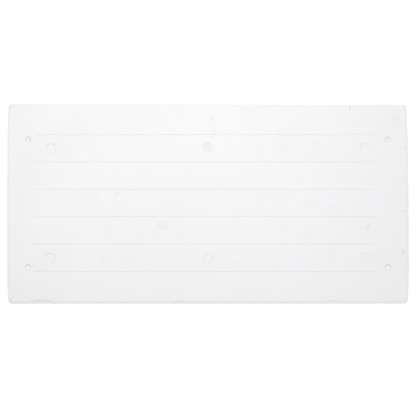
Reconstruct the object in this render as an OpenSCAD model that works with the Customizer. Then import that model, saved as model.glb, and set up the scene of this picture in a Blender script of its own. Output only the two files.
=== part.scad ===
// Short rigid diving board that bolts down on a fixed stand.
// A white moulded shell is wrapped over a timber core, closed underneath by a laminate skin,
// drained by long grooves and held down through six bolt sleeves under snap-in caps.
// +X runs along the board, +Y across it and +Z up. The origin is under the middle, on the ground.

/* [Board] */
// Length over the crowns of the two bowed ends
board_l = 1004; // [800:4:1240]
// Width over the long edges
board_w = 500; // [416:4:620]
// How far the middle of each end stands out past its corners
end_bow = 4; // [2:0.5:8]
// Power of the curve that the ends follow: 2 is an even bow, higher is flatter in the middle
end_power = 6; // [2:1:8]
// Plan radius of the four corners
corner_r = 9; // [9:0.5:20]
// Radius rolled round the top edges
edge_r = 8; // [5:0.5:8]
// Chamfer along the lower lip of the rim
lip_chamfer = 1; // [0.5:0.25:2]

/* [Laminate] */
// Thickness of the moulded shell, in its face and in its rim
shell_t = 4; // [3.5:0.25:5]
// Thickness of the laminate skin under the core
skin_t = 4; // [3:0.5:6]
// Thickness of the timber core
core_t = 36; // [30:1:50]
// Glue line beside each piece that is bonded in
glue_gap = 0.2; // [0.1:0.05:0.3]

/* [Drainage grooves] */
// Distance from one groove to the next, which is also the width of an inner stave
groove_pitch = 68.75; // [52:0.25:82]
// Distance from each end of the board to the tip of a groove
groove_inset = 66; // [50:1:90]
// Radius of the cutter that forms a groove
groove_r = 2.5; // [2:0.25:4]
// Depth of a groove below the face
groove_depth = 1.6; // [1:0.1:2]
// Length over which a groove runs out to nothing
groove_fade = 24; // [10:1:40]

/* [Stand bolts] */
// Distance from each end of the board to its row of stand bolts
bolt_inset = 109.5; // [105:0.5:150]
// Bore for a stand bolt
bolt_bore = 11; // [9:0.5:13]
// Outside diameter of the sleeve's head
sleeve_head_d = 28; // [27:0.5:32]
// Outside diameter of the sleeve's stem
sleeve_stem_d = 18; // [16:0.5:20]
// Diameter of the counterbore that takes the bolt head
counterbore_d = 18.5; // [17.5:0.1:19]
// Depth of the counterbore
counterbore_depth = 18; // [14:0.5:20]
// Thickness of the sleeve under the bolt head
seat_t = 4; // [3:0.5:6]

/* [Bolt caps] */
// How far a cap laps over the rim of the counterbore that it plugs
cap_lap = 1.75; // [1.25:0.25:2.25]
// How far a cap's face lies below the face of the board
cap_sink = 1; // [0.5:0.25:1.5]
// Chamfer round the mouth of each cap hole in the shell
mouth_chamfer = 2; // [1:0.25:2.5]
// Radial gap round a cap and round its skirt
cap_gap = 0.3; // [0.2:0.05:0.5]
// Length of the skirt that snaps into the sleeve
skirt_l = 6; // [4:0.5:8]
// Wall of the skirt
skirt_t = 1.6; // [1.2:0.1:2.2]
// Width of the slits that let the skirt spring
slit_w = 2; // [1:0.25:3]
// Radius of the dimple in the middle of a cap
dimple_r = 2.5; // [1.5:0.25:3.5]
// Radius of the ring sunk into a cap's face
ring_r = 6.5; // [5:0.25:7.5]
// Width of the ring
ring_w = 1; // [0.6:0.1:1.6]
// Depth of the ring and of the dimple
ring_depth = 0.6; // [0.3:0.1:1]

/* [Corner fixings] */
// Distance from each end of the board to its corner holes
corner_inset = 52; // [46:1:60]
// Distance from each long edge to its corner holes
corner_side = 90; // [60:1:110]
// Bore of a corner hole
corner_bore = 9; // [6:0.5:10]
// Diameter of the countersink at the face
sink_d = 16; // [14:0.5:16]
// Outside diameter of a corner sleeve
corner_sleeve_d = 14; // [13:0.5:18]

/* [Core] */
// Thickness of the tongues along the staves
tongue_t = 8; // [6:1:12]
// Width of the tongues
tongue_w = 6; // [4:1:8]
// Width of each end block behind its corner holes
block_back = 39; // [36:1:42]
// Diameter of the dowels
dowel_d = 8; // [6:1:10]
// Depth of a dowel in each of the two pieces that it joins
dowel_depth = 24; // [16:1:26]

/* [Seat pads] */
// Diameter of the rubber pads that the board stands on
pad_d = 60; // [44:2:70]
// Thickness of the pads
pad_t = 5; // [3:0.5:10]
// Chamfer round the foot of a pad
pad_chamfer = 1; // [0.5:0.25:1.5]

/* [Hidden] */
$fn = 96;

shell_white = [0.95, 0.955, 0.95];
cap_white = [0.93, 0.935, 0.93];
skin_green = [0.80, 0.82, 0.76];
timber = [0.80, 0.62, 0.40];
timber_end = [0.72, 0.53, 0.33];
beech = [0.86, 0.72, 0.52];
alloy = [0.72, 0.73, 0.75];
stainless = [0.62, 0.63, 0.65];
rubber_black = [0.09, 0.09, 0.10];

// Heights of the layers, from the ground up
base_z = pad_t;
core_z = base_z + skin_t;
face_under_z = core_z + core_t;
face_z = face_under_z + shell_t;

// Six grooves part the face into seven bands, with a core stave under each
stave_n = 7;
groove_n = stave_n - 1;

// Small overrun that carries a cut clear of the face that it leaves
over = 1;
// Steps round one corner, along one bowed end and up the rolled edge
corner_steps = 6;
bow_steps = 16;
roll_steps = 6;

// Each corner is an arc that meets the long edge and the bowed end along their own slopes
half_w = board_w / 2;
corner_cy = half_w - corner_r;
tangent_a = end_slope(corner_cy);
tangent_y = corner_cy + corner_r * sin(tangent_a);
corner_cx = board_l / 2 - end_drop(tangent_y) - corner_r * cos(tangent_a);

// Bolts stand in the middle of the second band in from each long edge
bolt_x = board_l / 2 - bolt_inset;
bolt_y = groove_pitch * (groove_n - 2) / 2;
bolt_places = [
  [-bolt_x, bolt_y], [0, bolt_y], [bolt_x, bolt_y],
  [-bolt_x, -bolt_y], [0, -bolt_y], [bolt_x, -bolt_y]
];
corner_x = board_l / 2 - corner_inset;
corner_y = half_w - corner_side;
corner_places = [
  [-corner_x, corner_y], [corner_x, corner_y], [-corner_x, -corner_y], [corner_x, -corner_y]
];

// The core fills the shell inside its rim: staves between the grooves, a block across each end
core_inset = shell_t + glue_gap;
core_half_w = half_w - core_inset;
block_x = corner_x - block_back;
stave_half_l = block_x - glue_gap;
tongue_z = core_z + (core_t - tongue_t) / 2;

// The head of a bolt sleeve holds the counterbore and the seat below it
head_h = counterbore_depth + seat_t;
head_z = face_under_z - head_h;
cap_top_z = face_z - cap_sink;
cap_d = counterbore_d + 2 * cap_lap;
cap_hole_d = cap_d + 2 * cap_gap;
skirt_r = counterbore_d / 2 - cap_gap;

// How far the end falls back from its crown at y, and the angle that it has turned through there
function end_drop(y) = end_bow * pow(abs(y) / half_w, end_power);
function end_slope(y) = sign(y) * atan(end_power * end_drop(y) / max(abs(y), 1));

// Points round one bowed end, set in from the finished outline by a distance d
function turn(a) = [cos(a), sin(a)];
function arc(c, r, a0, a1, n) = [for (i = [0:n]) c + r * turn(a0 + (a1 - a0) * i / n)];
function bowed_end(d) = concat(
  arc([corner_cx, -corner_cy], corner_r - d, -90, -tangent_a, corner_steps),
  [for (i = [1:bow_steps - 1])
    let (y = tangent_y * (2 * i / bow_steps - 1))
    [board_l / 2 - end_drop(y), y] - d * turn(end_slope(y))],
  arc([corner_cx, corner_cy], corner_r - d, tangent_a, 90, corner_steps)
);
function outline(d) = concat(bowed_end(d), -bowed_end(d));

// Edge of the band on the far side of groove i, counted from the -Y edge of the board
function band_edge(i) = (i - stave_n / 2) * groove_pitch;
function stave_low(i) = i == 1 ? -core_half_w : band_edge(i - 1) + glue_gap / 2;
function stave_high(i) = i == stave_n ? core_half_w : band_edge(i) - glue_gap / 2;

// Solid with the finished outline, rolled over at its top and chamfered at its lower lip
module outer_form() {
  roll = [for (i = [0:roll_steps]) 90 * i / roll_steps];
  rings = concat(
    [[lip_chamfer, base_z], [0, base_z + lip_chamfer]],
    [for (a = roll) [edge_r * (1 - cos(a)), face_z - edge_r * (1 - sin(a))]]
  );
  n = len(outline(0));
  points = [for (ring = rings) for (p = outline(ring[0])) [p[0], p[1], ring[1]]];
  walls = [
    for (k = [0:len(rings) - 2])
    for (i = [0:n - 1])
    let (j = (i + 1) % n)
    [k * n + i, (k + 1) * n + i, (k + 1) * n + j, k * n + j]
  ];
  top = [for (i = [n - 1:-1:0]) (len(rings) - 1) * n + i];
  foot = [for (i = [0:n - 1]) i];
  polyhedron(points, concat([foot], walls, [top]));
}

// Slab with the outline set in by d
module inner_slab(d, z, h) {
  translate([0, 0, z])
    linear_extrude(h)
      polygon(outline(d));
}

// Round bar along X whose ends taper, so that the groove it cuts runs out at the face
module groove_cutter() {
  half_l = board_l / 2 - groove_inset;
  tip_r = groove_r - groove_depth;
  rotate([0, 90, 0])
    rotate_extrude($fn = 32)
      polygon([
        [0, -half_l], [tip_r, -half_l], [groove_r, groove_fade - half_l],
        [groove_r, half_l - groove_fade], [tip_r, half_l], [0, half_l]
      ]);
}

// Upright hole of diameter d through everything
module bore(place, d) {
  translate([place[0], place[1], -over])
    cylinder(d = d, h = face_z + 2 * over);
}

// Cone that widens a hole from diameter d to mouth_d at the face, at 45 degrees
module countersink(place, d, mouth_d) {
  depth = (mouth_d - d) / 2;
  translate([place[0], place[1], face_z - depth])
    cylinder(d1 = d, d2 = mouth_d + 2 * over, h = depth + over);
}

// Stepped space that a bolt sleeve takes up in the core
module sleeve_seat(place) {
  translate([place[0], place[1], 0]) {
    translate([0, 0, core_z - over])
      cylinder(d = sleeve_stem_d + 2 * glue_gap, h = core_t + 2 * over);
    translate([0, 0, head_z])
      cylinder(d = sleeve_head_d + 2 * glue_gap, h = head_h + over);
  }
}

// Dowels, or the holes for them, at one end: two to a stave, a third of its width off its middle
module dowel_row(side, r, depth) {
  for (i = [1:stave_n]) {
    middle = (stave_low(i) + stave_high(i)) / 2;
    reach = (stave_high(i) - stave_low(i)) / 3;
    for (y = [middle - reach, middle + reach])
      translate([side * block_x - depth, y, core_z + core_t / 2])
        rotate([0, 90, 0])
          cylinder(r = r, h = 2 * depth, $fn = 32);
  }
}

module top_shell() {
  color(shell_white)
    difference() {
      outer_form();
      inner_slab(shell_t, base_z - over, face_under_z - base_z + over);
      for (i = [1:groove_n])
        translate([0, band_edge(i), face_z + groove_r - groove_depth])
          groove_cutter();
      for (place = bolt_places) {
        bore(place, cap_hole_d);
        countersink(place, cap_hole_d, cap_hole_d + 2 * mouth_chamfer);
      }
      for (place = corner_places) {
        bore(place, corner_bore);
        countersink(place, corner_bore, sink_d);
      }
    }
}

module bottom_skin() {
  color(skin_green)
    difference() {
      inner_slab(core_inset, base_z, skin_t);
      for (place = bolt_places)
        bore(place, bolt_bore);
      for (place = corner_places)
        bore(place, corner_bore);
    }
}

// Stave i of the core, with a tongue on its +Y side and a matching slot on its -Y side
module core_stave(i) {
  low = stave_low(i);
  high = stave_high(i);
  color(timber)
    difference() {
      union() {
        translate([-stave_half_l, low, core_z])
          cube([2 * stave_half_l, high - low, core_t]);
        if (i < stave_n)
          translate([-stave_half_l, high - over, tongue_z])
            cube([2 * stave_half_l, tongue_w + over, tongue_t]);
      }
      if (i > 1)
        translate([-board_l / 2, low - over, tongue_z - glue_gap])
          cube([board_l, tongue_w + over, tongue_t + 2 * glue_gap]);
      for (place = bolt_places)
        sleeve_seat(place);
      for (side = [-1, 1])
        dowel_row(side, dowel_d / 2 + glue_gap, dowel_depth + glue_gap);
    }
}

module end_block(side) {
  color(timber_end)
    difference() {
      intersection() {
        inner_slab(core_inset, core_z, core_t);
        translate([side > 0 ? block_x : -board_l, -board_w, core_z])
          cube([board_l - block_x, 2 * board_w, core_t]);
      }
      for (place = corner_places)
        bore(place, corner_sleeve_d + 2 * glue_gap);
      for (place = bolt_places)
        sleeve_seat(place);
      dowel_row(side, dowel_d / 2 + glue_gap, dowel_depth + glue_gap);
    }
}

module dowels(side) {
  color(beech)
    dowel_row(side, dowel_d / 2, dowel_depth);
}

// Turned sleeve that carries the clamp load of one stand bolt past the timber
module bolt_sleeve(k) {
  color(alloy)
    translate(bolt_places[k - 1])
      rotate_extrude()
        polygon([
          [bolt_bore / 2, core_z], [sleeve_stem_d / 2, core_z],
          [sleeve_stem_d / 2, head_z], [sleeve_head_d / 2, head_z],
          [sleeve_head_d / 2, face_under_z], [counterbore_d / 2, face_under_z],
          [counterbore_d / 2, head_z + seat_t], [bolt_bore / 2, head_z + seat_t]
        ]);
}

module corner_sleeve(k) {
  color(stainless)
    translate(corner_places[k - 1])
      rotate_extrude()
        translate([corner_bore / 2, core_z])
          square([(corner_sleeve_d - corner_bore) / 2, core_t]);
}

// Snap-in cap with a sunk ring and a dimple, on a skirt slit into four fingers
module bolt_cap(k) {
  ring_z = cap_top_z - ring_depth;
  skirt_z = face_under_z - skirt_l;
  color(cap_white)
    translate(bolt_places[k - 1])
      difference() {
        rotate_extrude()
          polygon([
            [0, face_under_z], [skirt_r - skirt_t, face_under_z], [skirt_r - skirt_t, skirt_z],
            [skirt_r, skirt_z], [skirt_r, face_under_z], [cap_d / 2, face_under_z],
            [cap_d / 2, cap_top_z], [ring_r + ring_w / 2, cap_top_z],
            [ring_r + ring_w / 2, ring_z], [ring_r - ring_w / 2, ring_z],
            [ring_r - ring_w / 2, cap_top_z], [dimple_r, cap_top_z], [0, ring_z]
          ]);
        for (slit_a = [0, 90])
          rotate(slit_a)
            translate([-skirt_r - over, -slit_w / 2, skirt_z - over])
              cube([2 * (skirt_r + over), slit_w, skirt_l + over]);
      }
}

module seat_pad(k) {
  color(rubber_black)
    translate(bolt_places[k - 1])
      rotate_extrude()
        polygon([
          [bolt_bore / 2, 0], [pad_d / 2 - pad_chamfer, 0], [pad_d / 2, pad_chamfer],
          [pad_d / 2, pad_t], [bolt_bore / 2, pad_t]
        ]);
}

top_shell();
bottom_skin();
core_stave(1);  // core_stave_1
core_stave(2);  // core_stave_2
core_stave(3);  // core_stave_3
core_stave(4);  // core_stave_4
core_stave(5);  // core_stave_5
core_stave(6);  // core_stave_6
core_stave(7);  // core_stave_7
end_block(-1);  // end_block_left
end_block(1);  // end_block_right
dowels(-1);  // dowels_left
dowels(1);  // dowels_right
bolt_sleeve(1);  // bolt_sleeve_1
bolt_sleeve(2);  // bolt_sleeve_2
bolt_sleeve(3);  // bolt_sleeve_3
bolt_sleeve(4);  // bolt_sleeve_4
bolt_sleeve(5);  // bolt_sleeve_5
bolt_sleeve(6);  // bolt_sleeve_6
corner_sleeve(1);  // corner_sleeve_1
corner_sleeve(2);  // corner_sleeve_2
corner_sleeve(3);  // corner_sleeve_3
corner_sleeve(4);  // corner_sleeve_4
bolt_cap(1);  // bolt_cap_1
bolt_cap(2);  // bolt_cap_2
bolt_cap(3);  // bolt_cap_3
bolt_cap(4);  // bolt_cap_4
bolt_cap(5);  // bolt_cap_5
bolt_cap(6);  // bolt_cap_6
seat_pad(1);  // seat_pad_1
seat_pad(2);  // seat_pad_2
seat_pad(3);  // seat_pad_3
seat_pad(4);  // seat_pad_4
seat_pad(5);  // seat_pad_5
seat_pad(6);  // seat_pad_6
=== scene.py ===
import math
import bpy
import numpy as np
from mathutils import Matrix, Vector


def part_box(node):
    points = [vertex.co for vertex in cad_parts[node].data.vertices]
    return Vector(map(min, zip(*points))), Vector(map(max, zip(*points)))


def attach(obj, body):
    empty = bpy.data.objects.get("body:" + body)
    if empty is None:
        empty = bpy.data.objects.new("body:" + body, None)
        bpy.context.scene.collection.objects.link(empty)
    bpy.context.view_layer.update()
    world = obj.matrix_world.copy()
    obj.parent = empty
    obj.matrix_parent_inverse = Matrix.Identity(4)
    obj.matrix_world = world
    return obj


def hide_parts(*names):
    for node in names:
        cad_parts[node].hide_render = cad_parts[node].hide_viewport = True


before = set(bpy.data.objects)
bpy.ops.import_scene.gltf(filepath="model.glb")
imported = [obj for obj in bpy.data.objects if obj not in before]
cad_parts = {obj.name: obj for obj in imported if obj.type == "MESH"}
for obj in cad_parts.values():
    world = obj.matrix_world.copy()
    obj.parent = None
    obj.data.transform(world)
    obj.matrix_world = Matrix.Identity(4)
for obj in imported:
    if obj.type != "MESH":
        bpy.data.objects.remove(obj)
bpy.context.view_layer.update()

# ----------------------------------------------------------
# Top shell
# The top shell is one skin of white gelcoat over glass fibre, laid up in a female mould.
# The mould's floor forms the six drainage grooves, and its sides roll the edge over into a
# turned-down rim. The holes are drilled and countersunk after it has left the mould.
# ----------------------------------------------------------

MM = 0.001

shell_low, shell_high = (np.array(corner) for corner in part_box("top_shell"))
FACE_Z = shell_high[2]
RIM_FOOT_Z = shell_low[2]
FACE_UNDER_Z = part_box("core_stave_4")[1][2]
HALF_LENGTH = (shell_high[0] - shell_low[0]) / 2
HALF_WIDTH = (shell_high[1] - shell_low[1]) / 2

CORNER_RADIUS = 9 * MM
ROLL_RADIUS = 5 * MM
RIM_THICKNESS = FACE_Z - FACE_UNDER_Z
END_BOW = 4 * MM
END_BOW_POWER = 6

# The flat part of the face stops short of the rolled edge, and its last four rows and columns
# fan out round the corners.
FLAT_X = HALF_LENGTH - 16 * MM
FLAT_Y = HALF_WIDTH - 10 * MM
TURN_X = FLAT_X - 8 * MM
TURN_Y = FLAT_Y - 8 * MM

cap_places = [np.mean(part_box(f"bolt_cap_{k}"), axis=0)[:2] for k in range(1, 7)]
corner_places = [np.mean(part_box(f"corner_sleeve_{k}"), axis=0)[:2] for k in range(1, 5)]
stave_lows = [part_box(f"core_stave_{i}")[0][1] for i in range(2, 8)]
GROOVE_PITCH = (stave_lows[-1] - stave_lows[0]) / 5
groove_ys = [GROOVE_PITCH * (i - 2.5) for i in range(6)]

cap_low, cap_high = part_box("bolt_cap_1")
CAP_RADIUS = (cap_high[0] - cap_low[0]) / 2
CAP_TOP_Z = cap_high[2]
CAP_HOLE_RADIUS = CAP_RADIUS + 0.06 * MM
CAP_MOUTH_RADIUS = CAP_RADIUS + 2.3 * MM
CORNER_HOLE_RADIUS = 4.5 * MM
CORNER_MOUTH_RADIUS = 8 * MM
GROOVE_HALF_WIDTH = 1.25 * MM
GROOVE_DEPTH = 0.75 * MM
GROOVE_FADE = 14 * MM
GROOVE_MIDDLE_X = -6 * MM
GROOVE_HALF_LENGTH = HALF_LENGTH - 66 * MM
SKIN_WAVE = 0.06 * MM

# Half sizes of the square patch of face that is set aside round each hole, and its cells
CAP_PATCH = 13.8 * MM
CORNER_PATCH = 8.7 * MM
CAP_PATCH_CELLS = 14
CORNER_PATCH_CELLS = 12
GROOVE_GUARD = 0.4 * MM


def spaced(stops, counts):
    """Grid lines: each stretch between neighbouring stops is cut into its count of equal cells."""
    lines = [np.linspace(a, b, n, endpoint=False) for a, b, n in zip(stops, stops[1:], counts)]
    return np.append(np.concatenate(lines), stops[-1])


def mirrored(lines):
    """The lines from 0 upwards, joined to their reflection below 0."""
    return np.concatenate([-lines[:0:-1], lines])


def groove_stops(groove_y):
    """Stops at a groove's two edges, each with one more just outside it, so that the smooth
    shading of the groove ends at its edge."""
    reach = GROOVE_HALF_WIDTH + GROOVE_GUARD
    return groove_y + np.array([-reach, -GROOVE_HALF_WIDTH, GROOVE_HALF_WIDTH, reach])


cap_x = max(place[0] for place in cap_places)
cap_y = max(place[1] for place in cap_places)
corner_x = max(place[0] for place in corner_places)
corner_y = max(place[1] for place in corner_places)
g1, g2, g3 = (abs(y) for y in groove_ys[3:])

# The grid's lines from the middle outwards: the stops, and the cells between each two of them.
# In y, a cap's patch ends on the line where a corner's patch begins.
x_lines = mirrored(spaced(
    [0, CAP_PATCH, cap_x - CAP_PATCH, cap_x + CAP_PATCH,
     corner_x - CORNER_PATCH, corner_x + CORNER_PATCH, TURN_X, FLAT_X],
    [CAP_PATCH_CELLS // 2, 44, CAP_PATCH_CELLS, 12, CORNER_PATCH_CELLS, 4, 4]))
y_lines = mirrored(spaced(
    [0, *groove_stops(g1), *groove_stops(g2), cap_y - CAP_PATCH, corner_y - CORNER_PATCH,
     corner_y + CORNER_PATCH, *groove_stops(g3), TURN_Y, FLAT_Y],
    [4, 1, 8, 1, 8, 1, 8, 1, 3, CAP_PATCH_CELLS, CORNER_PATCH_CELLS, 1, 1, 8, 1, 8, 4]))


def end_drop(y):
    """How far an end lies back from its crown at y: the bow times (|y| / half width) to a power."""
    return END_BOW * (np.abs(y) / HALF_WIDTH) ** END_BOW_POWER


def end_slope(y):
    """The angle that the end's edge has turned through at y, from the slope of end_drop."""
    rise = END_BOW_POWER * end_drop(y) / np.maximum(np.abs(y), MM)
    return np.sign(y) * np.arctan(rise)


EDGE_RIPPLE = 0.15 * MM
BACK_TRIM = 0.8 * MM
RIGHT_TRIM = 2.6 * MM

# Knocks along the edge: place on the outline, reach along it and depth of each, in metres
EDGE_HOLLOWS = [
    (-0.120, 0.250, 0.012, 1.7 * MM),
    (0.072, 0.250, 0.010, 1.4 * MM),
    (0.205, 0.250, 0.016, 0.5 * MM),
    (0.300, 0.250, 0.014, 0.7 * MM),
    (0.355, 0.250, 0.003, 1.0 * MM),
    (0.502, 0.075, 0.020, 1.2 * MM),
    (0.502, 0.052, 0.005, 0.6 * MM),
    (0.502, -0.020, 0.006, 0.7 * MM),
    (0.502, -0.120, 0.007, 1.2 * MM),
    (-0.502, -0.115, 0.014, 0.8 * MM),
]


def edge_wander(points, normals):
    """How far the edge lies inside its drawn outline: a slow ripple, plus the hollows, each a
    bell curve of distance, plus a trim off the back, which grows to the right, and one off the
    right end, which grows to the back. A trim shifts its side squarely inwards, so it counts by
    the share of the normal that faces that way."""
    x, y = points[:, 0], points[:, 1]
    wander = EDGE_RIPPLE * (1 + np.sin(x * 17 + y * 9) * np.sin(y * 23 - x * 5))
    for hollow_x, hollow_y, reach, depth in EDGE_HOLLOWS:
        distance = np.hypot(x - hollow_x, y - hollow_y)
        wander = wander + depth * np.exp(-(distance / reach) ** 2)
    back_trim = BACK_TRIM * (1 + np.tanh((x - 0.03) / 0.12))
    right_trim = RIGHT_TRIM * np.clip((y + 0.05) / 0.26, 0, 1)
    return (wander + back_trim * np.clip(normals[:, 1], 0, 1)
            + right_trim * np.clip(normals[:, 0], 0, 1))


SHIFT_POWER = 12


def edge_frame(x, y):
    """Where the outline lies opposite a point on the rim of the flat face, and its outward
    normal there. A long side maps straight out, an end maps on to its bow, and both are shifted
    to the corner by a high power of the share of the way to the turn line. Past that line the
    point goes round the corner's arc by its share of the way to the flat's corner."""
    corner_cy = HALF_WIDTH - CORNER_RADIUS
    corner_angle = end_slope(corner_cy)
    tangent_y = corner_cy + CORNER_RADIUS * np.sin(corner_angle)
    corner_cx = HALF_LENGTH - end_drop(tangent_y) - CORNER_RADIUS * np.cos(corner_angle)
    middle = (math.pi / 2 + corner_angle) / 2
    share_x = np.clip((np.abs(x) - TURN_X) / (FLAT_X - TURN_X), 0, 1)
    share_y = np.clip((np.abs(y) - TURN_Y) / (FLAT_Y - TURN_Y), 0, 1)
    on_long_side = np.isclose(np.abs(y), FLAT_Y)

    way_x, way_y = np.clip(np.abs(x) / TURN_X, 0, 1), np.clip(np.abs(y) / TURN_Y, 0, 1)
    shifted_x = np.abs(x) + (corner_cx - TURN_X) * way_x ** SHIFT_POWER
    shifted_y = np.abs(y) + (tangent_y - TURN_Y) * way_y ** SHIFT_POWER
    arc_angle = np.where(
        on_long_side,
        math.pi / 2 - share_x * (math.pi / 2 - middle),
        corner_angle + share_y * (middle - corner_angle))
    on_arc = np.where(on_long_side, share_x > 0, share_y > 0)
    straight_angle = np.where(on_long_side, math.pi / 2, end_slope(shifted_y))
    angle = np.where(on_arc, arc_angle, straight_angle)
    edge_x = np.where(on_long_side, shifted_x, HALF_LENGTH - end_drop(shifted_y))
    edge_y = np.where(on_long_side, HALF_WIDTH, shifted_y)
    edge_x = np.where(on_arc, corner_cx + CORNER_RADIUS * np.cos(arc_angle), edge_x)
    edge_y = np.where(on_arc, corner_cy + CORNER_RADIUS * np.sin(arc_angle), edge_y)

    side_x = np.where(x < 0, -1.0, 1.0)
    side_y = np.where(y < 0, -1.0, 1.0)
    points = np.stack([side_x * edge_x, side_y * edge_y], axis=-1)
    normals = np.stack([side_x * np.cos(angle), side_y * np.sin(angle)], axis=-1)
    return points, normals


def face_height(x, y):
    """Height of the face: flat, less each groove's round channel, which runs out towards its
    tips, less the slow waves that a thin moulded skin has."""
    height = np.full_like(x, FACE_Z)
    tip_distance = GROOVE_HALF_LENGTH - np.abs(x - GROOVE_MIDDLE_X)
    along = np.clip(tip_distance / GROOVE_FADE, 0, 1)
    run = along * along * (3 - 2 * along)
    for groove_y in groove_ys:
        across = np.clip(np.abs(y - groove_y) / GROOVE_HALF_WIDTH, 0, 1)
        height = height - GROOVE_DEPTH * run * (1 - across ** 2) ** 1.5
    waves = np.sin(x * 31 + 1.3 * np.sin(y * 19)) * np.sin(y * 37 + 1.1 * np.sin(x * 13))
    return height - SKIN_WAVE * (1 + waves)


def ring_quads(outer, inner):
    """Quads between two closed rings of vertex numbers, facing up when they run anticlockwise."""
    return np.stack([outer, np.roll(outer, -1), np.roll(inner, -1), inner], axis=-1)


SHARP_ANGLE = math.radians(38)


def add_piece(name, points, faces, material, body, stands_for, along=None):
    """Makes a mesh object from an array of points and a list of arrays of faces, leaves out the
    points that no face uses, and lets it ride on its CAD body in place of the CAD nodes it
    stands for. A turned metal piece also stores how far each point lies along its profile."""
    used = np.unique(np.concatenate([block.ravel() for block in faces]))
    renumber = np.zeros(len(points), int)
    renumber[used] = np.arange(len(used))
    mesh = bpy.data.meshes.new(name)
    mesh.from_pydata(
        points[used].tolist(), [], [face for block in faces for face in renumber[block].tolist()])
    mesh.polygons.foreach_set("use_smooth", np.ones(len(mesh.polygons), bool))
    mesh.set_sharp_from_angle(angle=SHARP_ANGLE)
    if along is not None:
        mesh.attributes.new("along", "FLOAT", "POINT").data.foreach_set("value", along[used])
    mesh.materials.append(material)
    mesh.update()
    piece = bpy.data.objects.new(name, mesh)
    bpy.context.scene.collection.objects.link(piece)
    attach(piece, body)
    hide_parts(*stands_for)


def hole_rings(centre, square, back, front, lean):
    """Rings of a round hole in a square patch, from profiles of (share of the way from square
    to circle, radius, height). The back profile counts by lean times the square of half of one
    plus the sine of the direction, and the front profile by the rest, so a hole can be steeper
    at its back."""
    offset = square - centre
    direction = offset / np.linalg.norm(offset, axis=1)[:, None]
    weight = lean * ((1 + direction[:, 1:]) / 2) ** 2
    rings = []
    for behind, before in zip(np.array(back), np.array(front)):
        share, radius, height = (weight * behind + (1 - weight) * before).T[..., None]
        flat = centre + offset * (1 - share) + direction * radius * share
        rings.append(np.column_stack([flat, height]))
    return rings


def shell_surface():
    """Points and quads of the whole shell. Two tensor grids, the face and its underside, are
    joined round the edge by rings that follow the roll, the rim and its foot, and at each hole
    by rings that go down through the patch that is left out of both grids."""
    gx, gy = np.meshgrid(x_lines, y_lines, indexing="ij")
    nx, ny = gx.shape
    face = np.stack([gx, gy, face_height(gx, gy)], axis=-1).reshape(-1, 3)
    under = np.stack([gx, gy, np.full_like(gx, FACE_UNDER_Z)], axis=-1).reshape(-1, 3)
    number = np.arange(nx * ny).reshape(nx, ny)
    keep = np.ones((nx - 1, ny - 1), bool)
    blocks = [face, under]
    quads = []
    total = 2 * nx * ny

    def new_ring(ring):
        """Adds a ring of points and gives back their numbers."""
        nonlocal total
        blocks.append(ring)
        numbers = np.arange(total, total + len(ring))
        total += len(ring)
        return numbers

    def border(i0, i1, j0, j1):
        """Vertex numbers round a rectangle of the grid, anticlockwise from its lowest corner."""
        return np.concatenate([
            number[i0:i1, j0], number[i1, j0:j1], number[i1:i0:-1, j1], number[i0, j1:j0:-1]])

    holes = [(place, CAP_PATCH, cap_back, cap_front, lean)
             for place, lean in zip(cap_places, CAP_LEANS)]
    holes += [(place, CORNER_PATCH, corner_profile, corner_profile, 0) for place in corner_places]
    for centre, patch, back, front, lean in holes:
        i0, i1 = (np.abs(x_lines - (centre[0] + side * patch)).argmin() for side in (-1, 1))
        j0, j1 = (np.abs(y_lines - (centre[1] + side * patch)).argmin() for side in (-1, 1))
        keep[i0:i1, j0:j1] = False
        loop = border(i0, i1, j0, j1)
        square = face[loop, :2]
        last = loop
        for ring in hole_rings(centre, square, back, front, lean):
            inner = new_ring(ring)
            quads.append(ring_quads(last, inner))
            last = inner
        quads.append(ring_quads(last, loop + nx * ny))

    cells = np.stack(
        [number[:-1, :-1], number[1:, :-1], number[1:, 1:], number[:-1, 1:]], axis=-1)[keep]
    quads.append(cells)
    quads.append(cells[:, ::-1] + nx * ny)

    loop = border(0, nx - 1, 0, ny - 1)
    drawn, normal = edge_frame(face[loop, 0], face[loop, 1])
    wander = edge_wander(drawn, normal)[:, None]
    last = loop
    for inset, height, follow in rim_profile:
        flat = drawn - normal * (inset + wander * follow)
        ring = new_ring(np.column_stack([flat, np.full(len(flat), height)]))
        quads.append(ring_quads(ring, last))
        last = ring
    quads.append(ring_quads(loop + nx * ny, last))
    return np.concatenate(blocks), [np.concatenate([q.reshape(-1, 4) for q in quads])]


# Profiles of a cap hole from the face down: (share of the way to a circle, radius, height).
# Each cap has been pushed in crooked: its front stands CAP_FRONT_RISE high, and its back lies
# deeper by its share of CAP_TILT_DROP. The mouth has worn to a slope that is steep behind the
# cap and shallow in front of it.
CAP_DEPTH = FACE_Z - CAP_TOP_Z
CAP_TILT_DROP = 1.2 * MM
CAP_FRONT_RISE = 0.45 * MM
CAP_LEANS = [1.0, 0.3, 0.55, 0.85, 0.3, 0.15]
mouth_shares = np.linspace(0, 1, 8)[1:]
cap_back = [(0.6, CAP_MOUTH_RADIUS, FACE_Z), (1, CAP_MOUTH_RADIUS + 0.15 * MM, FACE_Z)]
cap_front = list(cap_back)
for part in mouth_shares:
    radius = CAP_MOUTH_RADIUS + part * (CAP_HOLE_RADIUS - CAP_MOUTH_RADIUS)
    cap_back.append((1, radius, FACE_Z - (CAP_DEPTH + CAP_TILT_DROP) * part ** 0.8))
    front_depth = (CAP_DEPTH - CAP_FRONT_RISE) * part * part * (3 - 2 * part)
    cap_front.append((1, radius, FACE_Z - front_depth))
for profile in (cap_back, cap_front):
    profile += [(1, CAP_HOLE_RADIUS, FACE_UNDER_Z + 0.1 * MM), (1, CAP_HOLE_RADIUS, FACE_UNDER_Z)]

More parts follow.
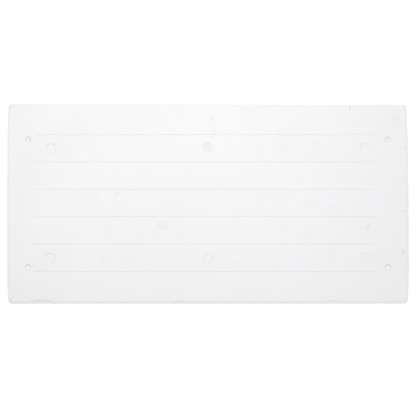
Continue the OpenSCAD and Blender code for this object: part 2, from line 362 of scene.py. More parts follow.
# Profile of a corner hole: a 45 degree cone with its edges just broken, then the straight bore
sink_depth = CORNER_MOUTH_RADIUS - CORNER_HOLE_RADIUS
corner_profile = [
    (0.5, CORNER_MOUTH_RADIUS, FACE_Z),
    (1, CORNER_MOUTH_RADIUS + 0.15 * MM, FACE_Z),
    (1, CORNER_MOUTH_RADIUS - 0.15 * MM, FACE_Z - 0.08 * MM),
    (1, CORNER_MOUTH_RADIUS - 0.5 * MM, FACE_Z - 0.4 * MM),
    (1, CORNER_HOLE_RADIUS + 0.4 * MM, FACE_Z - sink_depth + 0.3 * MM),
    (1, CORNER_HOLE_RADIUS, FACE_Z - sink_depth - 0.1 * MM),
    (1, CORNER_HOLE_RADIUS, FACE_UNDER_Z)]

# Profile of the rim from the flat face outwards and down, round its foot and up inside:
# (distance in from the outline, height, share of the edge's wander that it follows)
roll_turn = np.radians(np.linspace(0, 90, 9))
foot_turn = np.radians([0, 30, 60, 90])
FOOT_RADIUS = 1 * MM
RIM_BEVEL = 0.3 * MM
rim_profile = [(ROLL_RADIUS + 0.4 * MM, FACE_Z, 0.8)]
rim_profile += [
    (ROLL_RADIUS * (1 - math.sin(a)), FACE_Z - ROLL_RADIUS * (1 - math.cos(a)), 1)
    for a in roll_turn]
rim_profile += [
    (0, RIM_FOOT_Z + part * (FACE_Z - ROLL_RADIUS - RIM_FOOT_Z), 1)
    for part in (0.97, 0.65, 0.35, 0.1)]
rim_profile += [
    (FOOT_RADIUS * (1 - math.cos(a)), RIM_FOOT_Z + FOOT_RADIUS * (1 - math.sin(a)), 1)
    for a in foot_turn]
rim_profile += [
    (FOOT_RADIUS + 0.2 * MM, RIM_FOOT_Z, 0.9),
    (RIM_THICKNESS - RIM_BEVEL, RIM_FOOT_Z, 0),
    (RIM_THICKNESS, RIM_FOOT_Z + RIM_BEVEL, 0),
    (RIM_THICKNESS, FACE_UNDER_Z - RIM_BEVEL, 0),
    (RIM_THICKNESS, FACE_UNDER_Z, 0),
    (RIM_THICKNESS + RIM_BEVEL, FACE_UNDER_Z, 0)]

# ----------------------------------------------------------
# Gelcoat
# The gelcoat is white pigmented polyester, glossy when new. Sun and pool water have dulled it
# in patches and feet have scratched it. Soil has settled on its front edge; its grooves carry
# painted shade.
# ----------------------------------------------------------


def add_node(tree, kind, inputs=None, **settings):
    """Adds one shader node. settings are its properties, and each of the inputs is either a
    constant for a socket or the output of another node that feeds it."""
    node = tree.nodes.new("ShaderNode" + kind)
    for key, value in settings.items():
        setattr(node, key, value)
    for socket, value in (inputs or {}).items():
        if isinstance(value, bpy.types.NodeSocket):
            tree.links.new(value, node.inputs[socket])
        else:
            node.inputs[socket].default_value = value
    return node


def compute(tree, operation, *values, clamp=False):
    """One Math node: its operation on up to three values, each a number or an output."""
    inputs = dict(enumerate(values))
    return add_node(tree, "Math", inputs, operation=operation, use_clamp=clamp).outputs[0]


def sum_of_squares(tree, first, second):
    """The first value squared, plus the second value squared."""
    return compute(tree, "MULTIPLY_ADD", first, first, compute(tree, "MULTIPLY", second, second))


def remap(tree, value, low, high, to_low=0.0, to_high=1.0):
    """Smooth step of a value: from low to high it goes to_low to to_high, and no further."""
    node = add_node(
        tree, "MapRange", {0: value, 1: low, 2: high, 3: to_low, 4: to_high},
        interpolation_type="SMOOTHSTEP")
    return node.outputs[0]


def blend(tree, share, first, second):
    """Colour that is first where the share is 0 and second where it is 1."""
    node = add_node(
        tree, "Mix", {0: share, 6: first, 7: second}, data_type="RGBA", clamp_factor=True)
    return node.outputs[2]


def tint(tree, colour, share, amount, towards):
    """The colour, taken towards another one by an amount of a share."""
    return blend(tree, compute(tree, "MULTIPLY", share, amount), colour, towards)


def noise(tree, vector, scale, detail=3.0, roughness=0.5):
    """Value between about 0.2 and 0.8 of a fractal noise at so many features to the metre."""
    node = add_node(tree, "TexNoise", {
        "Vector": vector, "Scale": scale, "Detail": detail, "Roughness": roughness})
    return node.outputs[0]


def stretched(tree, vector, scale):
    """The vector times a scale along each axis, so that what reads it is drawn out."""
    return add_node(tree, "Mapping", {"Vector": vector, "Scale": scale}).outputs[0]


def object_position(tree):
    """Place on the object, in metres."""
    return add_node(tree, "TexCoord").outputs["Object"]


def new_group(name, inputs, outputs):
    """An empty node group with its sockets. Gives back its tree, its input node and its
    output node."""
    tree = bpy.data.node_groups.new(name, "ShaderNodeTree")
    for label, kind, value in inputs:
        socket = tree.interface.new_socket(label, in_out="INPUT", socket_type="NodeSocket" + kind)
        if value is not None:
            socket.default_value = value
    for label in outputs:
        tree.interface.new_socket(label, in_out="OUTPUT", socket_type="NodeSocketFloat")
    return tree, tree.nodes.new("NodeGroupInput").outputs, tree.nodes.new("NodeGroupOutput").inputs


def use_group(tree, group, inputs):
    """Places a node group in a tree and gives back its outputs."""
    return add_node(tree, "Group", inputs, node_tree=group).outputs


def new_material(name, roughness, **constants):
    """A material with its shader's constants set. Gives back the material, its tree and its
    shader's inputs."""
    material = bpy.data.materials.new(name)
    material.use_nodes = True
    tree = material.node_tree
    shader = tree.nodes["Principled BSDF"]
    shader.inputs["Roughness"].default_value = roughness
    for socket, value in constants.items():
        shader.inputs[socket.replace("_", " ")].default_value = value
    return material, tree, shader.inputs


def set_bump(tree, shader, height, distance):
    """Feeds a height, times a distance in metres, into the shader's normal."""
    bump = add_node(tree, "Bump", {"Height": height, "Distance": distance, "Strength": 1.0})
    tree.links.new(bump.outputs[0], shader["Normal"])


def make_weathering():
    """Group for a moulded surface that has stood outdoors. Tone is a cloudy mottling, Dulled is
    the patches that have lost their gloss, and Specks is fine dirt in the pores."""
    tree, given, out = new_group(
        "weathering", [("Vector", "Vector", None)], ["Tone", "Dulled", "Specks"])
    clouds = noise(tree, given[0], 7.0, 4.0, 0.55)
    patches = noise(tree, given[0], 26.0, 3.0, 0.6)
    tree.links.new(compute(tree, "MULTIPLY_ADD", patches, 0.4, compute(
        tree, "MULTIPLY", clouds, 0.6)), out[0])
    tree.links.new(remap(tree, patches, 0.48, 0.66), out[1])
    tree.links.new(remap(tree, noise(tree, given[0], 420.0, 2.0), 0.66, 0.74), out[2])
    return tree


def make_mark():
    """Group for one knock or smudge. In the mark's own turned frame, the mask is 1.7, less the
    squared distance in half lengths and half widths, less 1.5 times a fine noise. That is made
    1.4 times steeper and kept from 0 to 1."""
    tree, given, out = new_group("mark", [
        ("Vector", "Vector", None), ("Centre", "Vector", (0, 0, 0)), ("Angle", "Float", 0.0),
        ("Half Length", "Float", 0.01), ("Half Width", "Float", 0.001)], ["Mask"])
    offset = add_node(tree, "VectorMath", {0: given[0], 1: given[1]}, operation="SUBTRACT")
    turned_offset = add_node(tree, "VectorRotate", {
        "Vector": offset.outputs[0], "Angle": compute(tree, "MULTIPLY", given[2], -1.0)},
        rotation_type="Z_AXIS")
    parts = add_node(tree, "SeparateXYZ", {0: turned_offset.outputs[0]}).outputs
    along = compute(tree, "DIVIDE", parts[0], given[3])
    across = compute(tree, "DIVIDE", parts[1], given[4])
    ragged = compute(tree, "MULTIPLY_ADD", noise(tree, given[0], 900.0, 3.0), 1.5,
                     sum_of_squares(tree, along, across))
    left = compute(tree, "SUBTRACT", 1.7, ragged)
    tree.links.new(compute(tree, "MULTIPLY", left, 1.4, clamp=True), out[0])
    return tree


def make_fading():
    """Group for how far white has turned cool: a smooth step of x less y, moved by the tone, so
    it grows across the board from the left back to the right front."""
    tree, given, out = new_group(
        "fading", [("Vector", "Vector", None), ("Tone", "Float", 0.5)], ["Share"])
    x, y, _ = add_node(tree, "SeparateXYZ", {0: given[0]}).outputs
    towards_front = compute(tree, "SUBTRACT", compute(tree, "MULTIPLY_ADD", given[1], 0.6, x), y)
    tree.links.new(remap(tree, towards_front, 0.1, 0.6, 0.0, 0.6), out[0])
    return tree


weathering = make_weathering()
mark = make_mark()
fading = make_fading()

# Marks on the face: centre, angle in degrees, half length and half width in metres, strength
FACE_MARKS = [
    ((0.3550, 0.2400), 92, 0.0095, 0.0011, 0.45),
    ((0.0075, 0.2120), 20, 0.0080, 0.0045, 0.10),
    ((0.0140, 0.1780), 65, 0.0240, 0.0040, 0.05),
    ((-0.1140, -0.0557), 150, 0.0190, 0.0130, 0.06),
    ((-0.1200, -0.0610), 5, 0.0065, 0.0040, 0.05),
    ((-0.2266, 0.0244), 10, 0.0050, 0.0035, 0.14),
    ((-0.2640, -0.1410), 50, 0.0180, 0.0090, 0.04),
    ((0.3990, -0.0590), 60, 0.0150, 0.0060, 0.08),
    ((0.4930, 0.1400), 80, 0.0045, 0.0022, 0.26),
    ((0.4930, 0.0520), 85, 0.0040, 0.0022, 0.22),
    ((0.4930, -0.0200), 95, 0.0050, 0.0022, 0.22),
    ((0.4880, -0.1230), 70, 0.0075, 0.0028, 0.25),
    ((0.4710, 0.2150), 40, 0.0100, 0.0012, 0.22),
    ((0.4680, 0.1970), 60, 0.0220, 0.0030, 0.06),
    ((-0.4860, -0.2340), 80, 0.0080, 0.0026, 0.12),
    ((-0.4150, -0.2440), 0, 0.0300, 0.0022, 0.22),
    ((-0.0700, -0.2450), 0, 0.0240, 0.0018, 0.16),
    ((0.3100, -0.2445), 0, 0.0200, 0.0018, 0.14),
    ((0.0010, 0.1500), 10, 0.0110, 0.0040, 0.06),
    ((-0.4950, 0.2420), 50, 0.0080, 0.0028, 0.17),
    ((-0.4930, -0.2440), 130, 0.0080, 0.0028, 0.15),
    ((0.4930, -0.2430), 50, 0.0070, 0.0026, 0.12),
]


def make_gelcoat():
    """White, mottled by weathering, cooler where it has faded, and greyed by specks. Soil lies
    along the front edge where a ragged noise is more than the distance from it plus a little of
    the distance from the end, and the rim turns patchily darker and browner towards its foot.
    Painted shade lies along the middle of each groove. Scratches come next and marks last, and
    both are rougher and a little sunk."""
    material, tree, shader = new_material("gelcoat", 0.3, IOR=1.5)
    place = object_position(tree)
    x, y, z = add_node(tree, "SeparateXYZ", {0: place}).outputs
    tone, dulled, specks = use_group(tree, weathering, {"Vector": place})

    colour = blend(tree, remap(tree, tone, 0.36, 0.64),
                   (0.846, 0.844, 0.846, 1), (0.872, 0.868, 0.868, 1))
    faded = use_group(tree, fading, {"Vector": place, "Tone": tone})[0]
    colour = blend(tree, faded, colour, (0.846, 0.850, 0.876, 1))

    ragged = noise(tree, place, 60.0, 4.0, 0.65)
    from_front = compute(tree, "ADD", y, HALF_WIDTH)
    from_end = compute(tree, "SUBTRACT", HALF_LENGTH, compute(tree, "ABSOLUTE", x))
    from_corner = compute(tree, "MULTIPLY_ADD", from_end, 0.06, from_front)
    reach = compute(tree, "MULTIPLY_ADD", ragged, -0.018, from_corner)
    soil_and_shade = remap(tree, reach, -0.012, 0.0, 0.3, 0.0)
    # The rim turns patchily darker and browner the lower it lies.
    low = remap(tree, z, FACE_Z - 0.030, FACE_Z - 0.005, 0.6, 0.0)
    soil_and_shade = compute(tree, "MAXIMUM", soil_and_shade, compute(tree, "MULTIPLY", low, ragged))
    # Painted shade: a narrow brown line down the middle of each groove, standing in for the shade
    # on its floor.
    across = compute(tree, "PINGPONG", compute(tree, "SUBTRACT", y, groove_ys[0]),
                     GROOVE_PITCH / 2)
    groove_shade = remap(tree, across, 0.0, 0.9 * MM, 0.22, 0.0)
    from_middle = compute(tree, "ABSOLUTE", compute(tree, "SUBTRACT", x, GROOVE_MIDDLE_X))
    in_groove = compute(tree, "MULTIPLY", remap(
        tree, compute(tree, "SUBTRACT", GROOVE_HALF_LENGTH, from_middle), 0.0, GROOVE_FADE),
        compute(tree, "LESS_THAN", compute(tree, "ABSOLUTE", y), groove_ys[-1] + 2 * MM))
    soil_and_shade = compute(tree, "MAXIMUM", soil_and_shade, compute(tree, "MULTIPLY", groove_shade, in_groove))
    # Soil, the rim's darkening and the painted groove shade all tint the white brown.
    colour = tint(tree, colour, soil_and_shade, 0.5, (0.50, 0.42, 0.31, 1))
    colour = tint(tree, colour, specks, 0.10, (0.30, 0.28, 0.25, 1))

    scratches = remap(tree, noise(tree, stretched(tree, place, (9, 700, 60)), 1.0, 2.0), 0.68, 0.74)
    colour = tint(tree, colour, scratches, 0.06, (0.5, 0.5, 0.5, 1))
    worn = 0.0
    for (mark_x, mark_y), angle, half_length, half_width, strength in FACE_MARKS:
        mask = use_group(tree, mark, {
            "Vector": place, "Centre": (mark_x, mark_y, FACE_Z), "Angle": math.radians(angle),
            "Half Length": half_length, "Half Width": half_width})[0]
        worn = compute(tree, "MAXIMUM", worn, compute(tree, "MULTIPLY", mask, strength))
    colour = blend(tree, worn, colour, (0.16, 0.145, 0.12, 1))
    tree.links.new(colour, shader["Base Color"])

    dull = compute(tree, "MULTIPLY_ADD", dulled, 0.14, 0.26)
    rough = compute(tree, "MULTIPLY_ADD", compute(tree, "MAXIMUM", worn, scratches), 0.3, dull)
    tree.links.new(rough, shader["Roughness"])
    peel = compute(tree, "MULTIPLY_ADD", noise(tree, place, 420.0, 1.0), 0.25, noise(
        tree, stretched(tree, place, (14, 34, 34)), 1.0, 1.0))
    sunk = compute(tree, "MAXIMUM", worn, compute(tree, "MULTIPLY", scratches, 0.4))
    height = compute(tree, "MULTIPLY_ADD", sunk, -2.0, peel)
    set_bump(tree, shader, height, 0.028 * MM)
    return material


gelcoat = make_gelcoat()
shell_points, shell_faces = shell_surface()
add_piece("shell", shell_points, shell_faces, gelcoat, "board", ["top_shell"])

# ----------------------------------------------------------
# Bolt caps
# The caps are moulded in white plastic and pushed into the bolt sleeves. Each has a ring and a
# dimple for prising it out, four springy fingers with a bead, and lies a little differently.
# ----------------------------------------------------------


def turned(profile, place, steps=64):
    """Points and faces of a shape turned about an upright axis. The profile is (radius,
    height), with the solid on its right. One that starts and ends on the axis is closed there
    by fans, and any other is closed on itself."""
    has_poles = profile[0, 0] == 0
    rings = profile[1:-1] if has_poles else profile
    angle = np.linspace(0, 2 * np.pi, steps, endpoint=False)
    radius, height = rings[:, :1], rings[:, 1:]
    points = np.stack([
        place[0] + radius * np.cos(angle), place[1] + radius * np.sin(angle),
        height + 0 * angle], axis=-1).reshape(-1, 3)
    number = np.arange(len(points)).reshape(len(rings), steps)
    follow = np.roll(number, -1, axis=0)
    here, below = (number[:-1], number[1:]) if has_poles else (number, follow)
    quads = np.stack(
        [here, below, np.roll(below, -1, axis=1), np.roll(here, -1, axis=1)], axis=-1)
    faces = [quads.reshape(-1, 4)]
    if has_poles:
        top, foot = len(points), len(points) + 1
        first, last = number[0], number[-1]
        faces.append(np.stack([np.full(steps, top), first, np.roll(first, -1)], axis=-1))
        faces.append(np.stack([np.full(steps, foot), np.roll(last, -1), last], axis=-1))
        points = np.vstack([points, [[*place, profile[0, 1]], [*place, profile[-1, 1]]]])
    return points, faces


CAP_LAP = 1.75 * MM
CAP_GAP = 0.3 * MM
COUNTERBORE_RADIUS = CAP_RADIUS - CAP_LAP
SKIRT_RADIUS = COUNTERBORE_RADIUS - CAP_GAP
SKIRT_WALL = 1.6 * MM
SKIRT_FOOT_Z = cap_low[2]
SLIT_WIDTH = 2 * MM
RING_RADIUS = 6.5 * MM
RING_HALF_WIDTH = 0.65 * MM
RING_DEPTH = 0.6 * MM
DIMPLE_RADIUS = 2.5 * MM
CAP_EDGE_RADIUS = 0.15 * MM
CAP_CHAMFER = 0.25 * MM
CAP_BEAD = 0.2 * MM


def cap_disc(place, sink, lean):
    """The disc of a cap. Its face is dished by 0.6 of the sink times one less the squared share
    of its radius, less the round ring and the dimple, each a cosine bell of the distance from
    it. The top then tilts: its weight is the lean times the square of half of one plus y over
    the radius, as in the mouth of its hole. It drops by that weight of CAP_TILT_DROP and rises
    by the rest of CAP_FRONT_RISE, while all below it stays level."""
    radius = np.concatenate([
        [0], np.linspace(0.4, 2.9, 8), np.linspace(3.6, 5.6, 4), np.linspace(5.8, 7.2, 11),
        np.linspace(7.8, 10.6, 5)]) * MM
    dish = 0.6 * sink * (1 - (radius / CAP_RADIUS) ** 2)
    ring = np.clip(np.abs(radius - RING_RADIUS) / RING_HALF_WIDTH, 0, 1)
    dimple = np.clip(radius / DIMPLE_RADIUS, 0, 1)
    drop = RING_DEPTH * (2 + np.cos(ring * np.pi) + np.cos(dimple * np.pi)) / 2
    face = np.column_stack([radius, CAP_TOP_Z - sink - dish - drop])
    turn = np.radians(np.linspace(10, 90, 4))
    edge = np.column_stack([
        CAP_RADIUS - CAP_EDGE_RADIUS * (1 - np.sin(turn)),
        CAP_TOP_Z - sink - CAP_EDGE_RADIUS * (1 - np.cos(turn))])
    under = [(CAP_RADIUS, FACE_UNDER_Z + CAP_CHAMFER), (CAP_RADIUS - CAP_CHAMFER, FACE_UNDER_Z),
             (SKIRT_RADIUS, FACE_UNDER_Z), (SKIRT_RADIUS - SKIRT_WALL, FACE_UNDER_Z),
             (2 * MM, FACE_UNDER_Z), (0, FACE_UNDER_Z)]
    points, faces = turned(np.vstack([face, edge, under]), place)
    top_share = np.clip((points[:, 2] - FACE_UNDER_Z) / (CAP_TOP_Z - FACE_UNDER_Z) * 2 - 0.5, 0, 1)
    towards_back = (1 + (points[:, 1] - place[1]) / CAP_RADIUS) / 2
    weight = lean * towards_back ** 2
    points[:, 2] += (CAP_FRONT_RISE * (1 - weight) - CAP_TILT_DROP * weight) * top_share
    return points, faces


def cap_finger(place, quarter, steps=14):
    """One quarter of the slit skirt: the finger's section swept round, with its ends cut
    parallel to the slits by starting each radius at the arc sine of half a slit over it."""
    outer, inner = SKIRT_RADIUS, SKIRT_RADIUS - SKIRT_WALL
    foot, top = SKIRT_FOOT_Z, FACE_UNDER_Z + 0.3 * MM
    section = np.array([
        (inner, top), (outer, top), (outer, foot + 2.2 * MM), (outer + CAP_BEAD, foot + 1.5 * MM),
        (outer + CAP_BEAD, foot + 1.1 * MM), (outer - 0.4 * MM, foot), (inner + 0.2 * MM, foot),
        (inner, foot + 0.4 * MM)])
    radius = section[:, :1]
    start = np.arcsin(SLIT_WIDTH / 2 / radius)
    angle = start + (np.pi / 2 - 2 * start) * np.linspace(0, 1, steps + 1) + quarter * np.pi / 2
    points = np.stack([
        place[0] + radius * np.cos(angle), place[1] + radius * np.sin(angle),
        section[:, 1:] + 0 * angle], axis=-1).reshape(-1, 3)
    number = np.arange(len(points)).reshape(len(section), steps + 1)
    below = np.roll(number, -1, axis=0)
    quads = np.stack([number[:, :-1], below[:, :-1], below[:, 1:], number[:, 1:]], axis=-1)
    ends = [number[::-1, 0][None], number[:, -1][None]]
    return points, [quads.reshape(-1, 4), *ends]


def joined(shapes):
    """One set of points and faces from several shapes, with the faces numbered to suit."""
    starts = np.cumsum([0] + [len(points) for points, _ in shapes])
    faces = [block + start for (_, blocks), start in zip(shapes, starts) for block in blocks]
    return np.concatenate([points for points, _ in shapes]), faces


def make_cap_plastic():
    """Polypropylene a shade lighter than the gelcoat, clouded by weathering and faded as it is,
    with dirt and painted shade that darken it by its depth below the cap's top, and one smudge."""
    material, tree, shader = new_material("cap_plastic", 0.4, IOR=1.49)
    place = object_position(tree)
    tone, dulled, specks = use_group(tree, weathering, {"Vector": place})
    _, _, z = add_node(tree, "SeparateXYZ", {0: place}).outputs
    colour = blend(tree, tone, (0.866, 0.864, 0.868, 1), (0.888, 0.885, 0.886, 1))
    faded = use_group(tree, fading, {"Vector": place, "Tone": tone})[0]
    colour = blend(tree, faded, colour, (0.866, 0.870, 0.896, 1))
    # Dirt and painted shade: the plastic darkens with its depth below the cap's top, most where the
    # tilted caps dip at the back.
    depth_shade = remap(tree, z, CAP_TOP_Z - 2.2 * MM, CAP_TOP_Z - 1.0 * MM, 0.16, 0.0)
    grime_and_shade = compute(tree, "MULTIPLY", depth_shade, noise(tree, place, 380.0, 3.0))
    colour = blend(tree, grime_and_shade, colour, (0.42, 0.38, 0.31, 1))
    colour = tint(tree, colour, specks, 0.08, (0.3, 0.28, 0.25, 1))
    smudge = use_group(tree, mark, {
        "Vector": place, "Centre": (0.0, cap_y + 0.002, CAP_TOP_Z), "Angle": 0.3,
        "Half Length": 0.009, "Half Width": 0.006})[0]
    colour = tint(tree, colour, smudge, 0.07, (0.2, 0.18, 0.15, 1))
    tree.links.new(colour, shader["Base Color"])
    tree.links.new(compute(tree, "MULTIPLY_ADD", dulled, 0.15, 0.36), shader["Roughness"])
    set_bump(tree, shader, noise(tree, place, 1500.0, 2.0), 0.03 * MM)
    return material


cap_plastic = make_cap_plastic()
# How far each cap has been pushed in below its seat height
CAP_SINKS = [0.1 * MM, 0.05 * MM, 0.1 * MM, 0.2 * MM, 0.0, 0.0]
for k, (place, sink, lean) in enumerate(zip(cap_places, CAP_SINKS, CAP_LEANS), start=1):
    fingers = [cap_finger(place, quarter) for quarter in range(4)]
    points, faces = joined([cap_disc(place, sink, lean), *fingers])
    add_piece(f"cap_{k}_moulding", points, faces, cap_plastic, f"cap_{k}",
              [f"bolt_cap_{k}"])

# ----------------------------------------------------------
# Bolt sleeves and corner sleeves
# The bolt sleeves are turned from aluminium bar, and the corner sleeves are cut from stainless
# tube and faced. All their edges are broken, and the tool has left fine rings on them.
# ----------------------------------------------------------


def rounded(corners, radius, steps=3):
    """The closed profile with each of its corners replaced by a curve: the quadratic Bezier
    from a point one radius before the corner to a point one radius after it."""
    corners = np.array(corners, float)
    before, after = np.roll(corners, 1, axis=0), np.roll(corners, -1, axis=0)

    def towards(target):
        """Point one radius, but no more than 0.45 of the side, from each corner to a target."""
        side = target - corners
        length = np.linalg.norm(side, axis=1)[:, None]
        return corners + side * np.minimum(radius / length, 0.45)

    start, end = towards(before)[:, None], towards(after)[:, None]
    t = np.linspace(0, 1, steps + 1)[None, :, None]
    curve = (1 - t) ** 2 * start + 2 * t * (1 - t) * corners[:, None] + t ** 2 * end
    return curve.reshape(-1, 2)


def add_turning(name, corners, break_radius, place, material, stands_for):
    """Adds a metal piece turned from a profile of sharp corners, which are broken by a radius,
    and stores how far each of its points lies along the profile."""
    profile = rounded(corners, break_radius)
    points, faces = turned(profile, place)
    along = np.append(0, np.cumsum(np.hypot(*np.diff(profile, axis=0).T)))
    add_piece(name, points, faces, material, "board", stands_for,
              np.repeat(along, len(points) // len(profile)))


def make_tool_rings():
    """Group for turned metal. Rings is a noise of the distance along the profile, so the lines
    run round the piece, and Tarnish is a soft patchiness."""
    tree, given, out = new_group(
        "tool_rings", [("Vector", "Vector", None)], ["Rings", "Tarnish"])
    along = add_node(tree, "Attribute", attribute_name="along").outputs["Fac"]
    fine = add_node(tree, "TexNoise", {
        "W": compute(tree, "MULTIPLY", along, 5200.0), "Scale": 1.0, "Detail": 2.0},
        noise_dimensions="1D").outputs[0]
    tree.links.new(fine, out[0])
    tree.links.new(remap(tree, noise(tree, given[0], 130.0, 4.0, 0.6), 0.4, 0.7), out[1])
    return tree


tool_rings = make_tool_rings()


def make_metal(name, clean, tarnished, roughness):
    """Bright metal whose colour goes from clean to tarnished with the patches and the tool's
    rings. It is rougher where it is tarnished, and the rings stand up as bump."""
    material, tree, shader = new_material(name, roughness, Metallic=1.0)
    rings, tarnish = use_group(tree, tool_rings, {"Vector": object_position(tree)})
    colour = tint(tree, clean, tarnish, 0.6, tarnished)
    colour = tint(tree, colour, rings, 0.25, tarnished)
    tree.links.new(colour, shader["Base Color"])
    tree.links.new(compute(tree, "MULTIPLY_ADD", tarnish, 0.15, roughness), shader["Roughness"])
    set_bump(tree, shader, rings, 0.03 * MM)
    return material


alloy = make_metal("alloy", (0.76, 0.77, 0.78, 1), (0.52, 0.52, 0.51, 1), 0.32)
stainless = make_metal("stainless", (0.96, 0.96, 0.965, 1), (0.84, 0.83, 0.82, 1), 0.12)

BOLT_BORE_RADIUS = 5.5 * MM
STEM_RADIUS = 9 * MM
SEAT_THICKNESS = 4 * MM
COUNTERBORE_DEPTH = 18 * MM
sleeve_low, sleeve_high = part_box("bolt_sleeve_1")
HEAD_RADIUS = (sleeve_high[0] - sleeve_low[0]) / 2
SEAT_Z = sleeve_high[2] - COUNTERBORE_DEPTH
HEAD_Z = SEAT_Z - SEAT_THICKNESS
sleeve_corners = [
    (BOLT_BORE_RADIUS, SEAT_Z), (COUNTERBORE_RADIUS, SEAT_Z),
    (COUNTERBORE_RADIUS, sleeve_high[2]), (HEAD_RADIUS, sleeve_high[2]),
    (HEAD_RADIUS, HEAD_Z), (STEM_RADIUS, HEAD_Z), (STEM_RADIUS, sleeve_low[2]),
    (BOLT_BORE_RADIUS, sleeve_low[2])]
for k, place in enumerate(cap_places, start=1):
    add_turning(f"sleeve_{k}_turning", sleeve_corners, 0.5 * MM, place, alloy,
                [f"bolt_sleeve_{k}"])

for k, place in enumerate(corner_places, start=1):
    low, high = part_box(f"corner_sleeve_{k}")
    tube_radius = (high[0] - low[0]) / 2
    tube_corners = [
        (CORNER_HOLE_RADIUS, high[2]), (tube_radius, high[2]), (tube_radius, low[2]),
        (CORNER_HOLE_RADIUS, low[2])]
    add_turning(f"corner_{k}_tube", tube_corners, 0.4 * MM, place, stainless,
                [f"corner_sleeve_{k}"])

# ----------------------------------------------------------
# Seat pads
# The pads are compression moulded in black rubber and glued under the bolt sleeves. Three
# rings moulded into the foot grip the stand, and the flash round the edge has been trimmed.
# ----------------------------------------------------------

pad_low, pad_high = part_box("seat_pad_1")
PAD_RADIUS = (pad_high[0] - pad_low[0]) / 2
PAD_CHAMFER = 1 * MM
PAD_RINGS = [12 * MM, 18 * MM, 24 * MM]
PAD_RING_HALF_WIDTH = 1.1 * MM
PAD_RING_DEPTH = 0.9 * MM


def pad_profile():
    """Section of a pad, with its foot's radii stepped outward to inward. Each ring is a hollow
    with the shape of a cosine bell of the distance from its radius."""
    foot_r = np.linspace(PAD_RADIUS - PAD_CHAMFER - 0.2 * MM, BOLT_BORE_RADIUS + 0.4 * MM, 72)
    foot_z = np.full_like(foot_r, pad_low[2])
    for ring_radius in PAD_RINGS:
        offset = np.clip(np.abs(foot_r - ring_radius) / PAD_RING_HALF_WIDTH, 0, 1)
        foot_z = foot_z + PAD_RING_DEPTH * (1 + np.cos(offset * np.pi)) / 2
    top_and_side = [
        (BOLT_BORE_RADIUS, pad_high[2] - 0.4 * MM), (BOLT_BORE_RADIUS + 0.4 * MM, pad_high[2]),
        (PAD_RADIUS - 0.4 * MM, pad_high[2]), (PAD_RADIUS, pad_high[2] - 0.4 * MM),
        (PAD_RADIUS, pad_low[2] + PAD_CHAMFER + 0.2 * MM),
        (PAD_RADIUS - 0.2 * MM, pad_low[2] + PAD_CHAMFER - 0.2 * MM)]
    return np.vstack([
        top_and_side, np.column_stack([foot_r, foot_z]),
        [(BOLT_BORE_RADIUS, pad_low[2] + 0.4 * MM)]])


def make_rubber():
    """Black rubber, with a pale bloom where it is dulled and dust in its pores."""
    material, tree, shader = new_material("rubber", 0.6)
    place = object_position(tree)
    tone, dulled, specks = use_group(tree, weathering, {"Vector": stretched(
        tree, place, (4, 4, 4))})
    colour = tint(tree, (0.018, 0.018, 0.019, 1), dulled, 0.6, (0.06, 0.059, 0.056, 1))
    colour = tint(tree, colour, specks, 0.5, (0.2, 0.19, 0.17, 1))
    tree.links.new(colour, shader["Base Color"])
    tree.links.new(compute(tree, "MULTIPLY_ADD", tone, 0.3, 0.42), shader["Roughness"])
    set_bump(tree, shader, noise(tree, place, 1100.0, 4.0, 0.7), 0.08 * MM)
    return material


rubber = make_rubber()
for k, place in enumerate(cap_places, start=1):
    points, faces = turned(pad_profile(), place, steps=72)
    add_piece(f"pad_{k}_moulding", points, faces, rubber, "board", [f"seat_pad_{k}"])

# ----------------------------------------------------------
# Bottom skin
# The skin is woven glass roving wetted with clear polyester, which cures pale green. The
# weave shows through the resin, which lies thicker in clouds.
# ----------------------------------------------------------

ROVING_PITCH = 5 * MM


